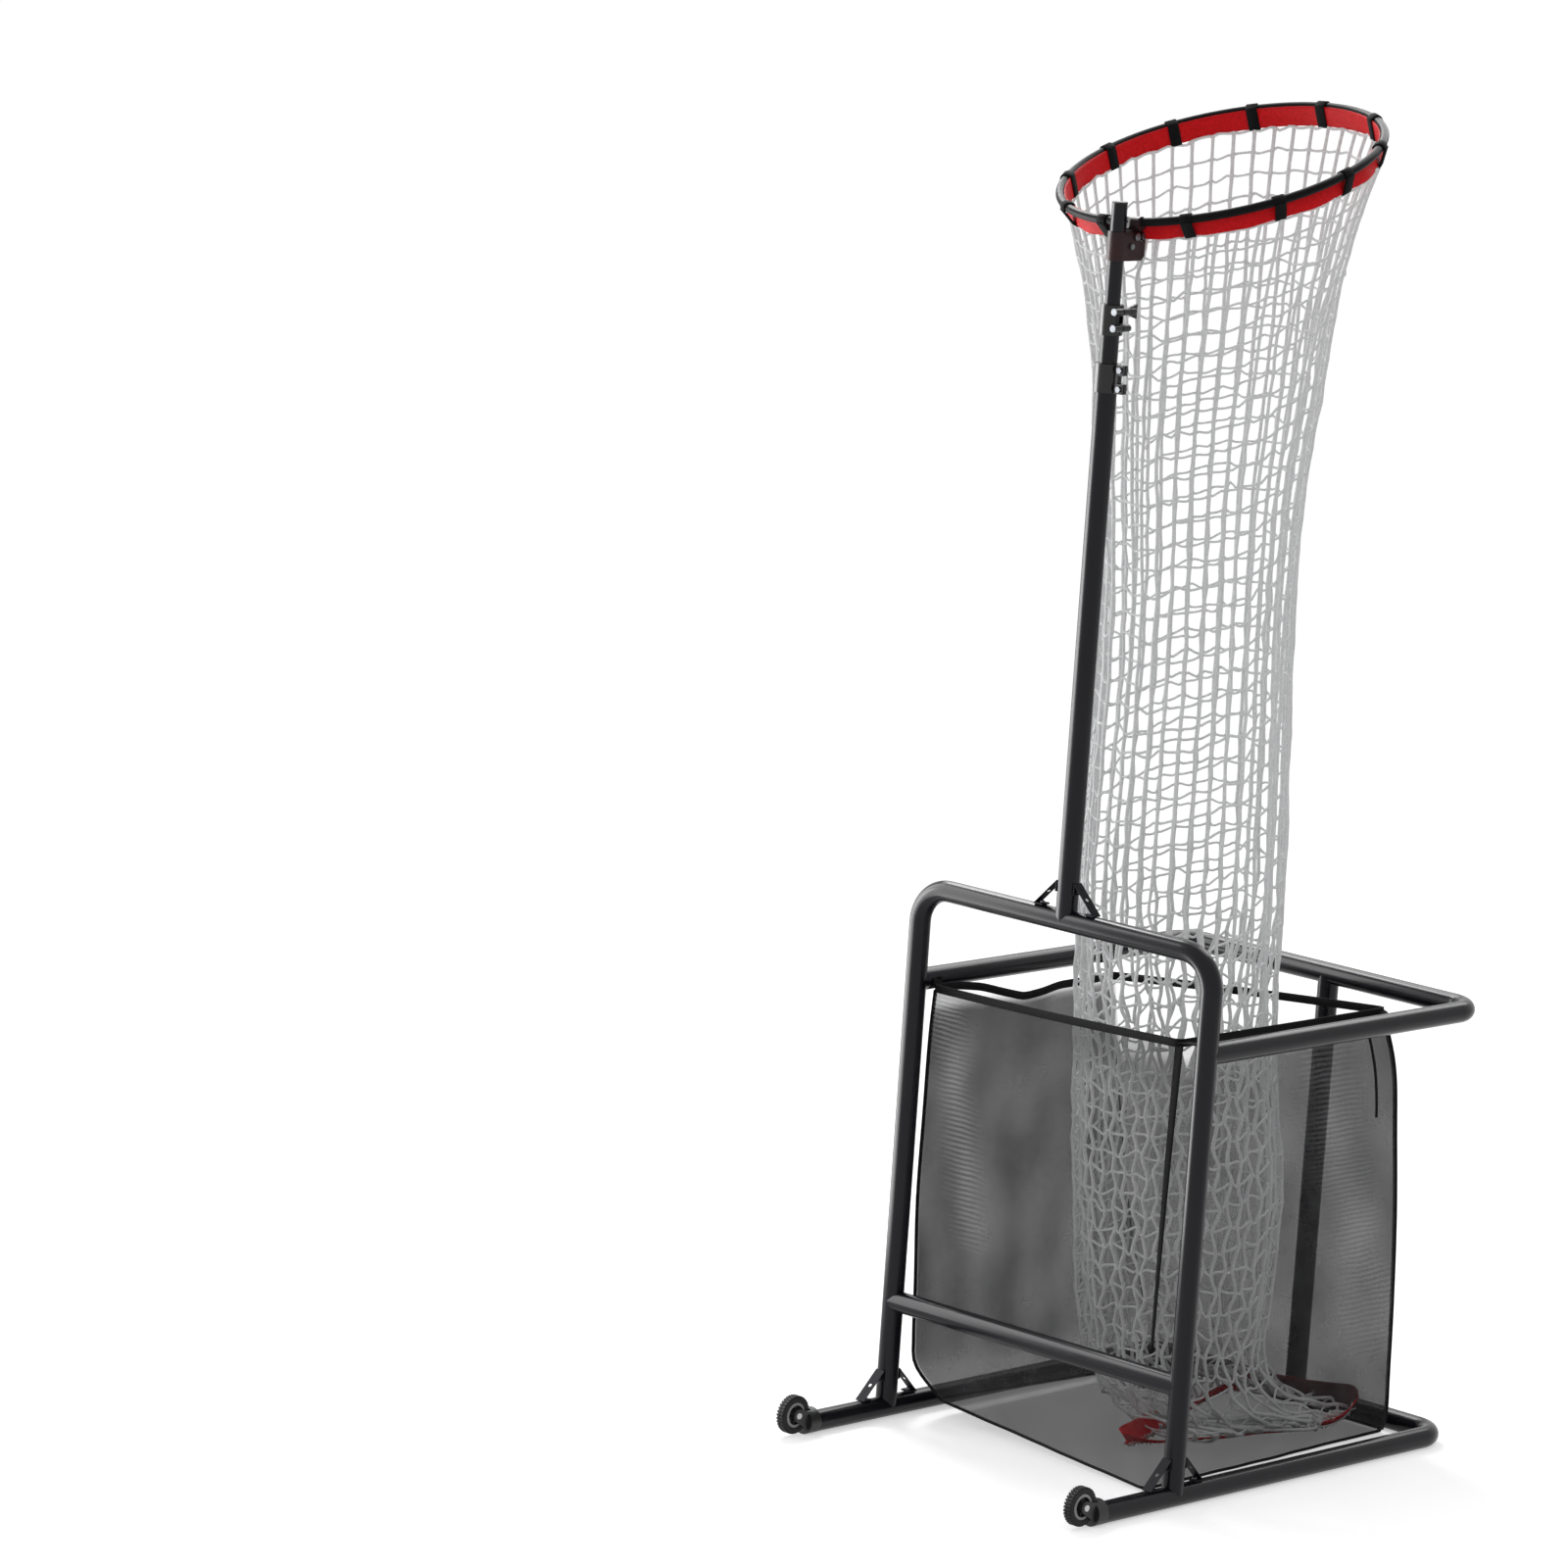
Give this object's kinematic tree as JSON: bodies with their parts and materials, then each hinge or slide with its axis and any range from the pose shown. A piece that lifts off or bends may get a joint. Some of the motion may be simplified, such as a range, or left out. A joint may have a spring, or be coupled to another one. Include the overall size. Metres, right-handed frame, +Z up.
{
  "type": "pitching target net",
  "caption": "Tilted target hoop on a telescoping mast over a long mesh chute that drops balls into a mesh catch bag hung in a wheeled tubular stand.",
  "frame": {"origin": "on the ground at the middle of the footprint", "axes": "+Z up along the mast, -Y towards the wheeled front, +X to the right when facing +Y from the front"},
  "size_m": [0.721, 1.0234, 2.3646],
  "materials": {
    "frame_tube": "satin graphite powder coat",
    "gusset_plate": "satin graphite powder coat",
    "zinc_steel": "bright zinc",
    "dark_screw": "black oxide",
    "clamp_plastic": "moulded nylon",
    "bush_plastic": "moulded nylon",
    "bracket_coat": "satin maroon-black coat",
    "lug_plastic": "moulded nylon",
    "hoop_tube": "satin black",
    "red_band": "woven polyester",
    "strap_webbing": "woven webbing",
    "net_cord": "knitted cord mesh",
    "wheel_plastic": "moulded plastic",
    "lock_ring_plastic": "moulded plastic",
    "cap_plastic": "moulded plastic",
    "tyre_rubber": "solid treaded rubber",
    "hub_plastic": "moulded plastic",
    "bag_mesh": "fine see-through mesh",
    "bag_edging": "woven binding tape"
  },
  "bodies": {
    "stand": {"left_skid": "frame_tube", "right_skid": "frame_tube", "rear_base_bar": "frame_tube", "left_leg": "frame_tube", "right_leg": "frame_tube", "arch_top": "frame_tube", "mid_bar": "frame_tube", "left_rim_rail": "frame_tube", "right_rim_rail": "frame_tube", "rear_rim_bar": "frame_tube", "rear_upright": "frame_tube", "seam_ferrules": "zinc_steel", "branch_spigots": "zinc_steel", "set_screws": "dark_screw", "mast_gussets": "gusset_plate", "foot_gussets": "gusset_plate", "gusset_screws": "zinc_steel", "lower_mast": "frame_tube", "lower_guide_bush": "bush_plastic", "lower_clamp": "clamp_plastic", "lower_clamp_screws": "zinc_steel", "net_lower": "net_cord", "net_cuff": "red_band", "left_wheel_housing": "wheel_plastic", "right_wheel_housing": "wheel_plastic", "lock_rings": "lock_ring_plastic", "wheel_axles": "zinc_steel", "axle_caps": "cap_plastic", "catch_bag": "bag_mesh", "bag_binding": "bag_edging", "bag_ties": "strap_webbing"},
    "middle_mast": {"mid_mast": "frame_tube", "mid_foot_bush": "bush_plastic", "upper_guide_bush": "bush_plastic", "upper_clamp": "clamp_plastic", "upper_clamp_bolts": "zinc_steel"},
    "wing_knob": {"clamp_knob": "clamp_plastic"},
    "upper_mast": {"top_mast": "frame_tube", "top_foot_bush": "bush_plastic", "top_cap": "bush_plastic", "tilt_bracket": "bracket_coat", "bracket_bolt": "zinc_steel", "pivot_bolt": "zinc_steel", "net_middle": "net_cord"},
    "hoop": {"tilt_lug": "lug_plastic", "tilt_lock_bolt": "zinc_steel", "hoop_front": "hoop_tube", "hoop_right": "hoop_tube", "hoop_back_arc": "hoop_tube", "hoop_left": "hoop_tube", "hoop_ferrules": "zinc_steel", "hoop_band": "red_band", "band_straps": "strap_webbing", "net_upper": "net_cord"},
    "left_wheel": {"left_tyre": "tyre_rubber", "left_hub": "hub_plastic"},
    "right_wheel": {"right_tyre": "tyre_rubber", "right_hub": "hub_plastic"}
  },
  "joints": [
    {"name": "mast_mid_slide", "type": "slide", "parent": "stand", "child": "middle_mast", "axis": [0, 0, 1], "range_m": [0, 0.45]},
    {"name": "mast_top_slide", "type": "slide", "parent": "middle_mast", "child": "upper_mast", "axis": [0, 0, 1], "range_m": [0, 0.35]},
    {"name": "hoop_tilt", "type": "hinge", "parent": "upper_mast", "child": "hoop", "pos_m": [0, -0.20725, 2.149], "axis": [1, 0, 0], "range_deg": [-19, 10], "deforming": ["net_upper"]},
    {"name": "clamp_knob_turn", "type": "hinge", "parent": "middle_mast", "child": "wing_knob", "pos_m": [0.0225, -0.21895, 2.0226], "axis": [0, 1, 0], "continuous": true},
    {"name": "left_wheel_spin", "type": "hinge", "parent": "stand", "child": "left_wheel", "pos_m": [-0.3375, -0.47725, 0.0397], "axis": [1, 0, 0], "continuous": true},
    {"name": "right_wheel_spin", "type": "hinge", "parent": "stand", "child": "right_wheel", "pos_m": [0.3375, -0.47725, 0.0397], "axis": [1, 0, 0], "continuous": true}
  ]
}
